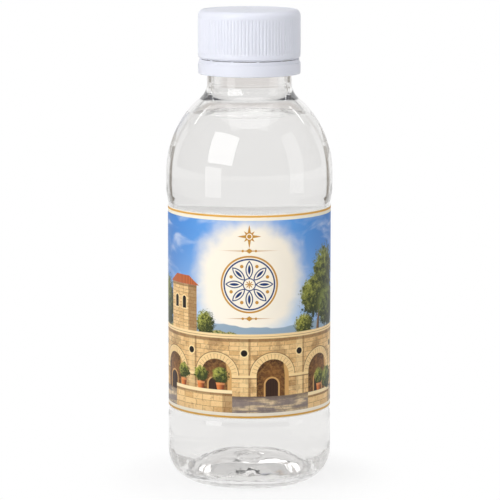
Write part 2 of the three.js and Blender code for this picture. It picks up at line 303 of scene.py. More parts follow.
class Graph:
    """A node tree that is built up node by node."""

    def __init__(self, tree):
        self.tree = tree
        self.tree.nodes.clear()

    def add(self, kind, settings=None, inputs=None, output=0):
        """A node of that type, with those settings, and values or links on its sockets."""
        node = self.tree.nodes.new(kind)
        for key, value in (settings or {}).items():
            if key == "stops":
                ramp = node.color_ramp.elements
                while len(ramp) < len(value):
                    ramp.new(0.5)
                for element, (place, colour) in zip(ramp, value):
                    element.position = place
                    element.color = (*colour, 1)
            else:
                setattr(node, key, value)
        for key, value in (inputs or {}).items():
            if isinstance(value, Wire):
                self.tree.links.new(value.socket, node.inputs[key])
            else:
                node.inputs[key].default_value = value
        return None if output is None else Wire(self, node.outputs[output])

    def maths(self, operation, *values):
        """One Math node of that operation."""
        return self.add("ShaderNodeMath", {"operation": operation}, dict(enumerate(values)))

    def smallest(self, first, *others):
        for other in others:
            first = self.maths("MINIMUM", first, other)
        return first

    def largest(self, first, *others):
        for other in others:
            first = self.maths("MAXIMUM", first, other)
        return first

    def length(self, across, up):
        return (across * across + up * up) ** 0.5

    def within(self, distance, softness=CRISP):
        """1 where the distance is under 0 and 0 where it is over, soft at the edge: on the
        print, which is measured in millimetres, it is crisp."""
        return 1 - self.rise(distance, -softness / 2, softness / 2)

    def rise(self, value, start, end):
        """0 before start and 1 after end, with a smooth climb between them."""
        return self.add(
            "ShaderNodeMapRange",
            {"interpolation_type": "SMOOTHSTEP"},
            {"Value": value, "From Min": start, "From Max": end},
        )

    def blend(self, share, under, over):
        """The colour under, with the colour over laid on it by its share."""
        settings = {"data_type": "RGBA"}
        return self.add("ShaderNodeMix", settings, {0: share, 6: under, 7: over}, output=2)

    def lay(self, under, over, distance, share=1.0):
        """The colour over, laid on the colour under by its share where the distance is under 0."""
        return self.blend(self.within(distance) * share, under, over)

    def place(self, scale=1.0, stretch=(1, 1, 1)):
        """The place in the object, in metres, times the scale and stretch."""
        coordinates = self.add("ShaderNodeTexCoord", output=3)
        return self.add(
            "ShaderNodeMapping", None, {0: coordinates, 3: tuple(scale * s for s in stretch)}
        )

    def noise(self, place, scale, detail=2.0, roughness=0.5, distortion=0.0):
        inputs = {"Scale": scale, "Detail": detail, "Roughness": roughness}
        return self.add(
            "ShaderNodeTexNoise", None, {0: place, "Distortion": distortion, **inputs}
        )

    def bump(self, height, strength, distance):
        inputs = {"Height": height, "Strength": strength, "Distance": distance}
        return self.add("ShaderNodeBump", None, inputs)

    def split(self, vector):
        """The three parts of a vector."""
        node = self.tree.nodes.new("ShaderNodeSeparateXYZ")
        self.tree.links.new(vector.socket, node.inputs[0])
        return [Wire(self, output) for output in node.outputs]

    def seen(self, *ways):
        """1 for what the camera sees in any of those ways, else 0: directly is Camera, in a
        reflection Glossy, and through clear plastic or water Transmission."""
        path = self.tree.nodes.new("ShaderNodeLightPath")
        return self.largest(*(Wire(self, path.outputs[f"Is {way} Ray"]) for way in ways))


class Finish(Graph):
    """A material that is built up node by node."""

    def __init__(self, name):
        self.material = bpy.data.materials.new(name)
        self.material.use_nodes = True
        super().__init__(self.material.node_tree)

    def surface(self, **inputs):
        """The Principled shader with those inputs, as the material's surface."""
        return self.out(self.add("ShaderNodeBsdfPrincipled", None, inputs))

    def out(self, shader):
        self.add("ShaderNodeOutputMaterial", None, {0: shader}, output=None)
        return self.material


def white(level=1.0):
    return (level, level, level, 1.0)


def clear_finish(name, colour, ior, ripple, ripple_depth, base_depth=0.0):
    """Clear plastic or water: it refracts, its surface is slightly uneven, more so in the thick
    base, and lamps shine through it."""
    finish = Finish(name)
    place = finish.place()
    height = finish.split(place)[2]
    uneven = finish.noise(place, ripple, detail=1.0) * ripple_depth
    thick = 1 - finish.rise(height, *BASE_RIPPLE_FADE)
    glassy = finish.noise(place, BASE_RIPPLE, detail=1.5) * thick
    normal = finish.bump(uneven + glassy * base_depth, 1.0, 1.0)
    body = finish.add("ShaderNodeBsdfPrincipled", None, {
        "Base Color": colour, "Roughness": 0.0, "IOR": ior, "Transmission Weight": 1.0,
        "Normal": normal,
    })
    passing = finish.add("ShaderNodeBsdfTransparent", None, {"Color": colour})
    shadow = finish.add("ShaderNodeLightPath", output="Is Shadow Ray")
    return finish.out(finish.add("ShaderNodeMixShader", None, {0: shadow, 1: body, 2: passing}))


BASE_RIPPLE = 170.0
BASE_RIPPLE_FADE = (6 * MM, 14 * MM)
WALL_RIPPLE = (60.0, 0.04 * MM)
PET_IOR = 1.57
WATER_IOR = 1.333
PET_COLOUR = (0.925, 0.92, 0.913, 1)
WATER_COLOUR = (0.965, 0.965, 0.965, 1)

bottle_plastic = clear_finish("bottle_plastic", PET_COLOUR, PET_IOR, *WALL_RIPPLE, 0.3 * MM)
wetted_plastic = clear_finish(
    "wetted_plastic", PET_COLOUR, PET_IOR / WATER_IOR, *WALL_RIPPLE, 0.6 * MM
)
water_surface = clear_finish("water_surface", white(), WATER_IOR, 110.0, 0.25 * MM)
water_side = clear_finish("water_side", WATER_COLOUR, 1.0, 90.0, 0.01 * MM)


def closure_finish():
    """White moulded plastic, faintly translucent, with a fine satin skin."""
    finish = Finish("closure_plastic")
    skin = finish.noise(finish.place(), 2600.0, detail=3.0)
    cloud = finish.noise(finish.place(), 120.0, detail=2.0)
    colour = finish.blend(cloud, (0.80, 0.82, 0.915, 1), (0.825, 0.842, 0.925, 1))
    return finish.surface(**{
        "Base Color": colour,
        "Roughness": 0.34 + 0.1 * cloud,
        "Subsurface Weight": 0.25,
        "Subsurface Radius": (1.0, 1.0, 1.0),
        "Subsurface Scale": 0.001,
        "Normal": finish.bump(skin, 0.25, 0.00003),
    })


def liner_finish():
    """Foamed liner: off-white, with fine closed cells."""
    finish = Finish("liner_foam")
    cells = finish.add("ShaderNodeTexVoronoi", None, {0: finish.place(), "Scale": 2500.0})
    colour = finish.blend(cells, (0.86, 0.84, 0.78, 1), (0.93, 0.92, 0.88, 1))
    return finish.surface(**{
        "Base Color": colour, "Roughness": 0.75, "Normal": finish.bump(cells, 0.4, 0.00005),
    })


def ink(red, green, blue):
    """A colour as it is picked on a screen, from 0 to 255, made linear."""
    picked = np.array([red, green, blue]) / 255
    linear = np.where(picked > 0.04045, ((picked + 0.055) / 1.055) ** 2.4, picked / 12.92)
    return (*linear.tolist(), 1.0)


# The label's print. Its places and sizes are in millimetres: across from the front's middle, up
# from the lower edge.

PRINT_HEIGHT = (LABEL_TOP - LABEL_BOTTOM) / MM
LAP_LENGTH = 6.0
LAP_ANGLE = math.radians(112.5) - QUARTER
PANEL_ROUND = TURN * PANEL_RADIUS / MM
PRINT_LENGTH = PANEL_ROUND + LAP_LENGTH
PRINT_FRONT = PANEL_ROUND * (3 * QUARTER - LAP_ANGLE) / TURN + LAP_LENGTH / 2
MARGIN_EDGE = 0.25
MARGIN_LINE = 0.55
MARGIN_WIDTH = 1.75

CREAM = ink(252, 242, 222)
GOLD = ink(200, 146, 58)
PALE_GOLD = ink(228, 172, 70)
NAVY = ink(22, 54, 110)
STONE_SUNLIT = ink(252, 222, 164)
STONE_LIGHT = ink(243, 205, 146)
STONE_DARK = ink(212, 165, 104)
STONE_SHADE = ink(120, 82, 46)
MORTAR = ink(140, 96, 54)
OPENING = ink(26, 14, 7)


def sky_print(finish, across, up, spot):
    """Sky: pale at the horizon, bluer upwards and to the sides, with drifts of cloud."""
    height = finish.rise(up, 22, 56)
    colour = finish.blend(height, ink(188, 216, 243), ink(98, 160, 230))
    aside = finish.rise(abs(across), 10, 34)
    colour = finish.blend(aside * 0.75, colour, ink(52, 120, 198))
    drift = finish.add("ShaderNodeMapping", None, {0: spot, 3: (0.07, 0.16, 1)})
    cloud = finish.rise(finish.noise(drift, 1.0, detail=5.0, distortion=0.6), 0.5, 0.74)
    return finish.blend(cloud * 0.6, colour, ink(236, 242, 250))


def glow_print(finish, across, up, spot, under):
    """The bright cream glow in the sky: an oval whose rim is uneven and fades out."""
    uneven = finish.noise(spot, 0.16, detail=3.0)
    out = finish.length(across / 18.5, (up - 41) / 19.5) + 0.3 * (uneven - 0.5)
    return finish.blend(finish.within(out - 0.88, 0.42), under, ink(255, 246, 229))


def star_print(finish, across, up, under, middle, radius):
    """A gold star of eight points about a small ring: its radius falls off between the points."""
    up = up - middle
    out = finish.length(across, up)
    turn = finish.maths("ARCTAN2", up, across)
    point = abs((turn / (TURN / 8)) % 1 - 0.5) * 2
    long_point = abs((turn / (TURN / 4)) % 1 - 0.5) * 2
    reach = radius * (0.34 + 0.3 * point ** 2.5 + 0.36 * long_point ** 4)
    ring = finish.within(abs(out - 0.75) - 0.14)
    return finish.lay(under, GOLD, out - reach, 1 - ring)


def rosette_print(finish, across, up, under, middle):
    """A round window's tracery: a gold ring, eight pointed navy petals with gold beads between
    their tips, and a gold flower in the middle. A petal is the lens that two circles share, turned
    by an eighth of a turn again and again."""
    up = up - middle
    out = finish.length(across, up)
    turn = finish.maths("ARCTAN2", up, across)
    eighth = (turn + TURN / 16) % (TURN / 8) - TURN / 16
    between = turn % (TURN / 8) - TURN / 16
    along, aside = out * finish.maths("COSINE", eighth), out * finish.maths("SINE", eighth)
    bead = finish.length(
        out * finish.maths("COSINE", between) - 5.7, out * finish.maths("SINE", between)
    )
    petal = finish.length(along - 4.35, abs(aside) + 2.6) - 3.55
    navy = finish.smallest(
        abs(petal) - 0.16, petal + 0.55, abs(out - 7.35) - 0.22, abs(out - 1.75) - 0.15
    )
    flower = out - 0.75 - 0.45 * finish.maths("COSINE", turn * 8)
    gold = finish.smallest(abs(out - 8.15) - 0.26, bead - 0.5, flower)
    return finish.lay(finish.lay(under, NAVY, navy), GOLD, gold)


def divider_print(finish, across, up, under, height, reach):
    """A thin gold rule that tapers to both ends, with a small lozenge and two beads."""
    up = abs(up - height)
    aside = abs(across)
    rule = up - 0.17 * (1 - aside / reach)
    lozenge = aside * 0.7 + up - 0.75
    bead = finish.length(aside - 1.9, up) - 0.36
    return finish.lay(under, GOLD, finish.smallest(rule, lozenge, bead))


def hills_print(finish, across, up, spot, under):
    """Two ranges of hills: the far one hazy, the near one olive and dotted with trees."""
    along = finish.add("ShaderNodeCombineXYZ", None, {0: across, 1: 3.0})
    far = 27.5 + 6 * (finish.noise(along, 0.055, detail=3.0) - 0.5)
    near = 25.0 + 8 * (finish.noise(along, 0.09, detail=5.0) - 0.5)
    under = finish.blend(finish.within(up - far, 0.3), under, ink(150, 172, 190))
    dots = finish.rise(finish.noise(spot, 1.6, detail=3.0), 0.42, 0.62)
    green = finish.blend(dots, ink(176, 168, 104), ink(80, 98, 48))
    return finish.blend(finish.within(up - near, 0.3), under, green)


def ashlar(finish, spot, length=3.0, height=1.35):
    """Squared stone in courses: each block has its own tone, with grain, worn spots and joints."""
    wavy = finish.noise(spot, 0.5, detail=3.0)
    bent = finish.add("ShaderNodeVectorMath", {"operation": "ADD"}, {
        0: spot, 1: finish.add("ShaderNodeCombineXYZ", None, {1: 0.25 * wavy}),
    })
    blocks = finish.add("ShaderNodeTexBrick", {"offset": 0.43, "squash": 1.35}, {
        "Vector": bent, "Color1": STONE_LIGHT, "Color2": STONE_DARK, "Mortar": MORTAR,
        "Scale": 1.0, "Mortar Size": 0.08, "Mortar Smooth": 0.7, "Bias": -0.15,
        "Brick Width": length, "Row Height": height,
    })
    grain = finish.noise(spot, 1.6, detail=6.0, roughness=0.75)
    lit = finish.blend(finish.rise(grain, 0.45, 0.7) * 0.6, blocks, STONE_SUNLIT)
    worn = finish.rise(finish.noise(spot, 0.75, detail=5.0, roughness=0.7), 0.53, 0.7)
    return finish.blend(worn * 0.5, lit, ink(158, 110, 62))


def arcade_print(finish, across, up, spot, under):
    """A sandstone arcade right round the bottle: one bay again and again. A bay has an arched
    porch with its ring of wedge stones and a dark door at its back, half a pier on each side, a
    small round window over each pier, and a cornice that throws a shadow."""
    bay, half_opening, springing, top = 17.0, 4.9, 12.6, 25.0
    aside = (across + bay / 2 + 10.0) % bay - bay / 2
    wall = ashlar(finish, spot)
    dapple = finish.rise(finish.noise(spot, 0.16, detail=4.0, roughness=0.6), 0.5, 0.6)
    wall = finish.blend(0.42 * dapple, wall, STONE_SHADE)
    pier = abs(abs(aside) - bay / 2)
    wall = finish.lay(wall, STONE_SUNLIT, pier - 1.15, 0.35)
    pier_shade = finish.within(abs(aside + bay / 2 - 1.55) - 0.35, 0.3)
    wall = finish.blend(pier_shade * 0.55, wall, STONE_SHADE)
    rise = finish.largest(up - springing, 0.0)
    out = finish.length(aside, rise)
    turn = finish.maths("ARCTAN2", rise, aside)
    over = finish.rise(up, springing, springing + CRISP)
    wedge = finish.rise(abs((turn / (TURN / 34)) % 1 - 0.5), 0.4, 0.48)
    wedges = finish.blend(wedge * 0.75, ink(248, 214, 154), MORTAR)
    wall = finish.lay(wall, wedges, out - half_opening - 1.5, over * 0.85)
    hood = abs(out - half_opening - 1.75)
    wall = finish.lay(wall, STONE_SUNLIT, hood - 0.2, over * 0.8)
    hood_shade = abs(out - half_opening - 2.05)
    wall = finish.lay(wall, STONE_SHADE, hood_shade - 0.12, over * 0.8)
    window = finish.length(abs(aside) - bay / 2, up - 19.4)
    wall = finish.lay(wall, STONE_SUNLIT, window - 1.35)
    wall = finish.lay(wall, OPENING, window - 0.95)
    porch = finish.blend(finish.rise(out, 1.5, half_opening), ink(112, 72, 34), ink(66, 40, 18))
    stones = finish.rise(finish.noise(spot, 0.9, detail=5.0, roughness=0.7), 0.4, 0.65)
    porch = finish.blend(stones * 0.5, porch, ink(176, 124, 66))
    jamb = finish.rise(aside + 0.12 * rise, half_opening - 1.5, half_opening - 1.1)
    porch = finish.blend(jamb * 0.85, porch, ink(226, 176, 108))
    door_aside = aside + 0.4
    arch = finish.length(door_aside, finish.largest(up - 10.0, 0.0))
    door = finish.largest(abs(door_aside), arch) - 1.9
    porch = finish.lay(porch, ink(206, 158, 96), door - 0.5)
    planks = finish.rise(abs((aside * 1.3) % 1 - 0.5), 0.4, 0.47)
    wood = finish.blend(planks * 0.8, ink(58, 34, 18), OPENING)
    porch = finish.lay(porch, wood, door)
    opening = finish.within(out - half_opening)
    wall = finish.blend(opening, wall, porch)
    impost, under_impost = abs(up - springing + 0.1) - 0.38, abs(up - springing + 0.68) - 0.16
    wall = finish.lay(wall, STONE_SUNLIT, impost, 0.85 * (1 - opening))
    wall = finish.lay(wall, STONE_SHADE, under_impost, 0.7 * (1 - opening))
    under_cornice = finish.within(abs(up - top + 1.75) - 0.5, 0.7)
    wall = finish.blend(under_cornice * 0.7, wall, STONE_SHADE)
    wall = finish.lay(wall, ink(250, 220, 166), abs(up - top + 0.65) - 0.65)
    wall = finish.lay(wall, STONE_SHADE, abs(up - top + 0.75) - 0.07, 0.8)
    return finish.lay(under, wall, up - top)


def house_print(finish, across, up, spot, under, middle, half_width, top):
    """A taller stone house over the arcade, with a tiled roof, a shaded side and two windows."""
    aside = across - middle
    wall = ashlar(finish, spot, 2.2, 1.0)
    side = finish.rise(aside, half_width * 0.42, half_width * 0.46)
    wall = finish.blend(side * 0.62, wall, STONE_SHADE)
    eaves = finish.within(abs(up - top + 0.3) - 0.45, 0.4)
    wall = finish.blend(eaves * 0.6, wall, STONE_SHADE)
    window_aside = abs(aside + 1.1) - 1.9
    low = finish.length(window_aside, finish.largest(up - top + 4.4, 0.0)) - 0.8
    window = finish.largest(low, top - 7.2 - up)
    wall = finish.lay(wall, STONE_SUNLIT, window - 0.4)
    wall = finish.lay(wall, OPENING, window)
    under = finish.lay(under, wall, finish.largest(abs(aside) - half_width, up - top))
    slope = abs(aside) - half_width - 0.9 + 1.5 * (up - top)
    roof = finish.largest(slope, top - up, up - top - 2.6)
    tiles = finish.rise(abs((aside * 1.4) % 1 - 0.5), 0.15, 0.45)
    tile = finish.blend(tiles * 0.7, ink(206, 112, 62), ink(120, 54, 30))
    return finish.lay(under, tile, roof)


def tree_print(finish, across, up, spot, under, middle, height, half_width, half_height, tint=0.5,
               leafage=1.15):
    """A tree or bush: an oval with a ragged leafy rim, light from the upper left, dark inside."""
    leaves = finish.noise(spot, leafage, detail=7.0, roughness=0.8)
    out = finish.length((across - middle) / half_width, (up - height) / half_height)
    mask = finish.within(out + 1.7 * (leaves - 0.5) - 0.84, 0.14)
    facing = (across - middle) / half_width * -0.25 + (up - height) / half_height * 0.3
    light = finish.rise(leaves + facing * 0.35, 0.44, 0.7)
    dark = finish.blend(tint, ink(28, 40, 20), ink(58, 66, 22))
    bright = finish.blend(tint, ink(108, 126, 56), ink(206, 204, 92))
    return finish.blend(mask, under, finish.blend(light, dark, bright))


def trunk_print(finish, across, up, under, middle, low, high, lean):
    """A tree's bare trunk, which leans by that much for each unit of height and tapers."""
    aside = across - middle - lean * (up - low)
    width = 0.75 - 0.35 * finish.rise(up, low, high)
    trunk = finish.largest(abs(aside) - width, up - high, low - up)
    bark = finish.blend(finish.rise(aside, -0.5, 0.5), ink(150, 116, 80), ink(60, 42, 28))
    return finish.lay(under, bark, trunk)


def terrace_print(finish, across, up, spot, under):
    """Paving in front of the arcade: slabs whose joints run towards one far point, with long
    slanting shadows."""
    edge = 6.6
    slant = across / (edge + 7 - up)
    row = 14 / (edge + 7 - up)
    joints = finish.largest(
        finish.rise(abs((slant * 2.2) % 1 - 0.5), 0.47, 0.495),
        finish.rise(abs((row * 2.4) % 1 - 0.5), 0.44, 0.49),
    )
    tone = finish.noise(spot, 0.6, detail=5.0, roughness=0.65)
    colour = finish.blend(finish.rise(tone, 0.35, 0.65), ink(226, 202, 164), ink(184, 162, 134))
    colour = finish.blend(joints * 0.5, colour, ink(120, 104, 88))
    fall = finish.add("ShaderNodeMapping", None, {0: spot, 2: (0, 0, 0.3), 3: (0.1, 0.6, 1)})
    shadow = finish.rise(finish.noise(fall, 1.0, detail=3.0), 0.42, 0.52)
    colour = finish.blend(shadow * 0.75, colour, ink(112, 102, 108))
    near_wall = finish.rise(up, edge - 1.8, edge)
    colour = finish.blend(near_wall * 0.6, colour, ink(92, 74, 60))
    return finish.lay(under, colour, up - edge)


def parapet_print(finish, across, up, spot, under, middle, half_width, top, pots):
    """A low wall of squared stone on the terrace, with a lighter coping and plants in pots, whose
    places are shares of the wall's half width."""
    aside = across - middle
    for place in pots:
        pot_middle = place * half_width
        from_pot = aside - pot_middle
        pot = finish.largest(abs(from_pot) - 0.95 - 0.22 * (up - top), top - up, up - top - 2.1)
        clay = finish.blend(finish.rise(from_pot, -0.8, 1.1), ink(226, 130, 66), ink(116, 54, 26))
        clay = finish.lay(clay, ink(244, 168, 104), abs(up - top - 1.75) - 0.3, 0.5)
        under = tree_print(
            finish, across, up, spot, under, middle + pot_middle, top + 4.3, 2.9, 2.8, 0.85, 0.8
        )
        under = finish.lay(under, clay, pot)
    wall = ashlar(finish, spot, 3.6, 1.7)
    end = finish.rise(aside, half_width * 0.7, half_width * 0.74)
    wall = finish.blend(end * 0.5, wall, STONE_SHADE)
    wall = finish.lay(wall, ink(254, 230, 182), abs(up - top + 0.5) - 0.5)
    under_coping = finish.within(abs(up - top + 1.3) - 0.3, 0.3)
    wall = finish.blend(under_coping * 0.7, wall, STONE_SHADE)
    return finish.lay(under, wall, finish.largest(abs(aside) - half_width, up - top))


def label_finish():
    """The printed face of the label: a landscape between two gold rules, on coated paper."""
    finish = Finish("label_print")
    place = finish.add("ShaderNodeUVMap", {"uv_map": "print"})
    share_across, share_up, _ = finish.split(place)
    across = share_across * PRINT_LENGTH - PRINT_FRONT
    up = share_up * PRINT_HEIGHT
    spot = finish.add("ShaderNodeCombineXYZ", None, {0: across, 1: up})

    def trees(colour, *rows):
        """Trees, one a row: middle, height, half width, half height, tint and leafage."""
        for row in rows:
            colour = tree_print(finish, across, up, spot, colour, *row)
        return colour

    colour = sky_print(finish, across, up, spot)
    colour = glow_print(finish, across, up, spot, colour)
    colour = star_print(finish, across, up, colour, 53.6, 3.4)
    colour = divider_print(finish, across, up, colour, 49.4, 8.0)
    colour = rosette_print(finish, across, up, colour, 39.6)
    colour = divider_print(finish, across, up, colour, 29.6, 6.5)
    colour = hills_print(finish, across, up, spot, colour)
    colour = trees(colour, (-13.5, 27.5, 3.6, 4.6, 0.7), (-33.0, 31.0, 6.0, 10.0, 0.4, 0.7))
    colour = house_print(finish, across, up, spot, colour, -22.5, 6.0, 38.5)
    colour = trunk_print(finish, across, up, colour, 23.0, 22.0, 33.0, 0.12)
    colour = trees(
        colour, (27.5, 40.5, 8.0, 10.0, 0.35, 0.55), (21.5, 35.0, 6.5, 7.0, 0.6, 0.6),
        (30.0, 31.0, 8.0, 7.5, 0.2, 0.6), (17.5, 27.0, 4.2, 3.6, 0.9),
    )
    colour = arcade_print(finish, across, up, spot, colour)
    colour = terrace_print(finish, across, up, spot, colour)
    colour = parapet_print(finish, across, up, spot, colour, 25.5, 6.5, 6.5, (-0.2,))
    colour = trees(colour, (29.5, 9.5, 4.2, 4.0, 0.5, 0.7))
    colour = parapet_print(finish, across, up, spot, colour, -15.5, 10.5, 8.4, (-0.62, 0.05, 0.66))
    edge = finish.smallest(up, PRINT_HEIGHT - up)
    colour = finish.lay(colour, CREAM, edge - MARGIN_WIDTH)
    from_line = abs(edge - MARGIN_EDGE - MARGIN_LINE / 2)
    colour = finish.lay(colour, PALE_GOLD, from_line - MARGIN_LINE / 2)
    fibre = finish.noise(finish.place(), 1500.0, detail=2.0)
    return finish.surface(**{
        "Base Color": colour,
        "Roughness": 0.38 + 0.12 * fibre,
        "Specular IOR Level": 0.25,
        "Normal": finish.bump(fibre, 0.15, 0.00002),
    })


LIGHT_THROUGH_LABEL = 0.22


def label_back_finish():
    """The label's white reverse, seen through the water. A glow stands for the light that comes
    through the thin label."""
    finish = Finish("label_reverse")
    fibre = finish.noise(finish.place(), 900.0, detail=3.0)
    colour = finish.blend(fibre, white(0.9), white(0.96))
    return finish.surface(**{
        "Base Color": colour,
        "Roughness": 0.8,
        "Subsurface Weight": 1.0,
        "Subsurface Radius": (1.0, 1.0, 1.0),
        "Subsurface Scale": 0.002,
        "Emission Color": white(),
        "Emission Strength": LIGHT_THROUGH_LABEL,
    })


closure_plastic = closure_finish()
liner_foam = liner_finish()
label_print = label_finish()
label_reverse = label_back_finish()


# The bottle

LOWER_BUMPER_TOP = HEEL_RADIUS + LOWER_BUMPER_HEIGHT
PANEL_BOTTOM = LABEL_BOTTOM - LABEL_MARGIN
PANEL_TOP = LABEL_TOP + LABEL_MARGIN
UPPER_BUMPER_BOTTOM = PANEL_TOP + UPPER_EASE_HEIGHT
SHOULDER_BOTTOM = UPPER_BUMPER_BOTTOM + UPPER_BUMPER_HEIGHT
BORE_CORNER = 4.5 * MM
BORE_CORNER_REACH = 0.12
BORE_RING = (0.14 * MM, 0.6 * MM)


def shoulder(angles, out):
    """The shoulder is a quarter of an ellipse, seen from the side: (SHOULDER_ACROSS * cos,
    SHOULDER_UP * sin) about a point level with its foot. The skin lies that far out from it,
    square to the ellipse."""
    cos, sin = np.cos(angles), np.sin(angles)
    square = np.c_[SHOULDER_UP * cos, SHOULDER_ACROSS * sin]
    square = square / np.hypot(*square.T)[:, None]
    foot = (SHOULDER_RADIUS - SHOULDER_ACROSS, SHOULDER_BOTTOM)
    return foot + np.c_[SHOULDER_ACROSS * cos, SHOULDER_UP * sin] + out * square, square


def shoulder_angle(radius, out):
    """The angle at which that skin of the shoulder comes in to a radius, read off a fine row of
    angles."""
    angles = np.linspace(1.4, 0, 2000)
    return float(np.interp(radius, shoulder(angles, out)[0][:, 0], angles))


SHOULDER_END = shoulder_angle(NECK_RADIUS + NECK_FILLET, NECK_FILLET)
(FILLET_CENTRE,), (FILLET_WAY,) = shoulder(np.array([SHOULDER_END]), NECK_FILLET)
BORE_FOOT = FILLET_CENTRE[1] + 0.2 * MM


def base_skin(base):
    """The push-up from the axis out to the standing ring, set in by the base wall: its height is
    PUSH_UP * (1 - (radius / STAND_INNER) ** PUSH_UP_POWER)."""
    radii = np.linspace(GATE_FOOT, STAND_INNER - STAND_EDGE, BASE_STEPS)
    return np.c_[radii, PUSH_UP * (1 - (radii / STAND_INNER) ** PUSH_UP_POWER) + base]


def body_skin(base, side, shoulder_end=SHOULDER_END):
    """From the standing ring up the heel, the bumpers and the label panel to an angle of the
    shoulder."""
    heel_in = HEEL_RADIUS - np.linspace(base, side, HEEL_STEPS)
    heel = round_about((STAND_OUTER, HEEL_RADIUS), heel_in, -QUARTER, 0, HEEL_STEPS)
    wall = softened([
        (BASE_RADIUS - side, HEEL_RADIUS, 0),
        (BASE_RADIUS - side, LOWER_BUMPER_TOP, EASE_ROUND),
        (PANEL_RADIUS - side, PANEL_BOTTOM, EASE_ROUND),
        (PANEL_RADIUS - side, PANEL_TOP, EASE_ROUND * 2),
        (SHOULDER_RADIUS - side, UPPER_BUMPER_BOTTOM, EASE_ROUND * 2),
        (SHOULDER_RADIUS - side, SHOULDER_BOTTOM, 0),
    ])
    dome = shoulder(np.linspace(0, shoulder_end, SHOULDER_STEPS), -side)[0]
    return np.concatenate([heel, wall[1:-1], dome])


def neck_fillet():
    """Outside, the hollow round from the shoulder into the straight neck."""
    start = math.pi + math.atan2(FILLET_WAY[1], FILLET_WAY[0])
    return round_about(FILLET_CENTRE, NECK_FILLET, start, math.pi, FILLET_STEPS)[1:]


def inner_skin():
    """Inside, from the standing ring up. The neck's bore goes straight down to the shoulder and
    meets it in a round, with a low ring over it where the blown part begins."""
    bore = NECK_RADIUS - NECK_WALL
    ring_height, ring_width = BORE_RING
    corner = shoulder_angle(bore, -BODY_WALL)
    body = body_skin(BASE_WALL, BODY_WALL, corner - BORE_CORNER_REACH)
    neck = softened([
        (*body[-1], 0),
        (bore, shoulder(np.array([corner]), -BODY_WALL)[0][0, 1], BORE_CORNER),
        (bore, BORE_FOOT - ring_width, 0),
        (bore - ring_height, BORE_FOOT - ring_width / 2, ring_width / 4),
        (bore, BORE_FOOT, 0),
    ])
    return np.concatenate([body, neck[1:]])


def helix_ridge(heights, angles, start, turns, lead, root_width, crest_width, run_out):
    """0 to 1: how far a thread has risen at each height and angle. Its middle climbs by the lead
    in each turn from the start height, its flanks slope from root to crest, and each end runs
    out over an angle."""
    ridge = np.zeros(np.broadcast(heights, angles).shape)
    for lap in range(math.ceil(turns) + 1):
        along = angles + lap * TURN
        middle = start + lead * along / TURN
        aside = np.abs(heights - middle)
        flank = np.clip((root_width / 2 - aside) / ((root_width - crest_width) / 2), 0, 1)
        ends = np.clip(along / run_out, 0, 1) * np.clip((turns * TURN - along) / run_out, 0, 1)
        ridge = np.maximum(ridge, smooth(flank) * smooth(ends))
    return ridge


BEAD_BOTTOM = CAP_BOTTOM - SLIT_HEIGHT - BEAD_HEIGHT
THREAD_TURNS = 1.75
THREAD_BELOW_LIP = 1.9 * MM
THREAD_START = LIP_TOP - THREAD_BELOW_LIP - THREAD_TURNS * THREAD_LEAD
THREAD_ROOT_WIDTH = 2.2 * MM
THREAD_CREST_WIDTH = 0.8 * MM
RUN_OUT = math.radians(25)
MENISCUS = 0.5 * MM
BRIM = WATER_LEVEL + 0.1 * MM


def cut_at(path, height):
    """The path in two, with a point at that height that both share."""
    k = int(np.argmax(path[:, 1] < height))
    share = (path[k - 1, 1] - height) / (path[k - 1, 1] - path[k, 1])
    shared = path[k - 1] + share * (path[k] - path[k - 1])
    return np.r_[path[:k], [shared]], np.r_[[shared], path[k:]]


def bottle():
    outside = np.concatenate([
        softened([
            (0, PUSH_UP - GATE_DEPTH, 0),
            (GATE_RADIUS, PUSH_UP - GATE_DEPTH, 0.35 * MM),
            (GATE_RADIUS, PUSH_UP * 0.97, 0.15 * MM),
            (GATE_FOOT, PUSH_UP * 0.96, 0),
        ]),
        base_skin(0)[1:],
        [(STAND_INNER, 0)],
        body_skin(0, 0),
        neck_fillet(),
    ])
    outside = closer(outside, BODY_SPACING)
    neck = closer(softened([
        (NECK_RADIUS, FILLET_CENTRE[1], 0),
        (NECK_RADIUS, BEAD_BOTTOM, 0.2 * MM),
        (BEAD_RADIUS, BEAD_BOTTOM, BEAD_ROUND),
        (BEAD_RADIUS, BEAD_BOTTOM + BEAD_HEIGHT / 2, BEAD_ROUND),
        (NECK_RADIUS, BEAD_BOTTOM + BEAD_HEIGHT, BEAD_ROUND),
        (NECK_RADIUS, LIP_TOP, LIP_ROUND),
        (NECK_RADIUS - NECK_WALL, LIP_TOP, LIP_ROUND),
        (NECK_RADIUS - NECK_WALL, BORE_FOOT, 0),
    ], step=15), NECK_SPACING)[1:-1]
    inside = np.concatenate([
        [(0, PUSH_UP + BASE_WALL)],
        base_skin(BASE_WALL),
        [(STAND_INNER, BASE_WALL)],
        inner_skin(),
    ])[::-1]
    dry, wet = cut_at(closer(inside, BODY_SPACING), BRIM)

    def thread(stretch, radii, heights, angles):
        ridge = helix_ridge(
            heights, angles, THREAD_START, THREAD_TURNS, THREAD_LEAD,
            THREAD_ROOT_WIDTH, THREAD_CREST_WIDTH, RUN_OUT,
        )
        above_bead = heights > BEAD_BOTTOM + BEAD_HEIGHT
        outer = (stretch == 1) & (radii > NECK_RADIUS - TINY) & above_bead
        return np.where(outer, ridge * (THREAD_CREST - NECK_RADIUS), 0)

    piece = turned(
        "clear_bottle", [outside, neck, dry[:-1], wet], BOTTLE_COLUMNS,
        [bottle_plastic, wetted_plastic], (0, 0, 0, 1), thread,
    )
    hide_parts("bottle")
    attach(piece, "bottle")


# The water

WATER_BITE = 0.04 * MM
MENISCUS_WIDTH = 0.5 * MM
RIPPLE_HEIGHT = 0.45 * MM
RIPPLE_LENGTH = 3.2 * MM
RIPPLE_REACH = 6 * MM


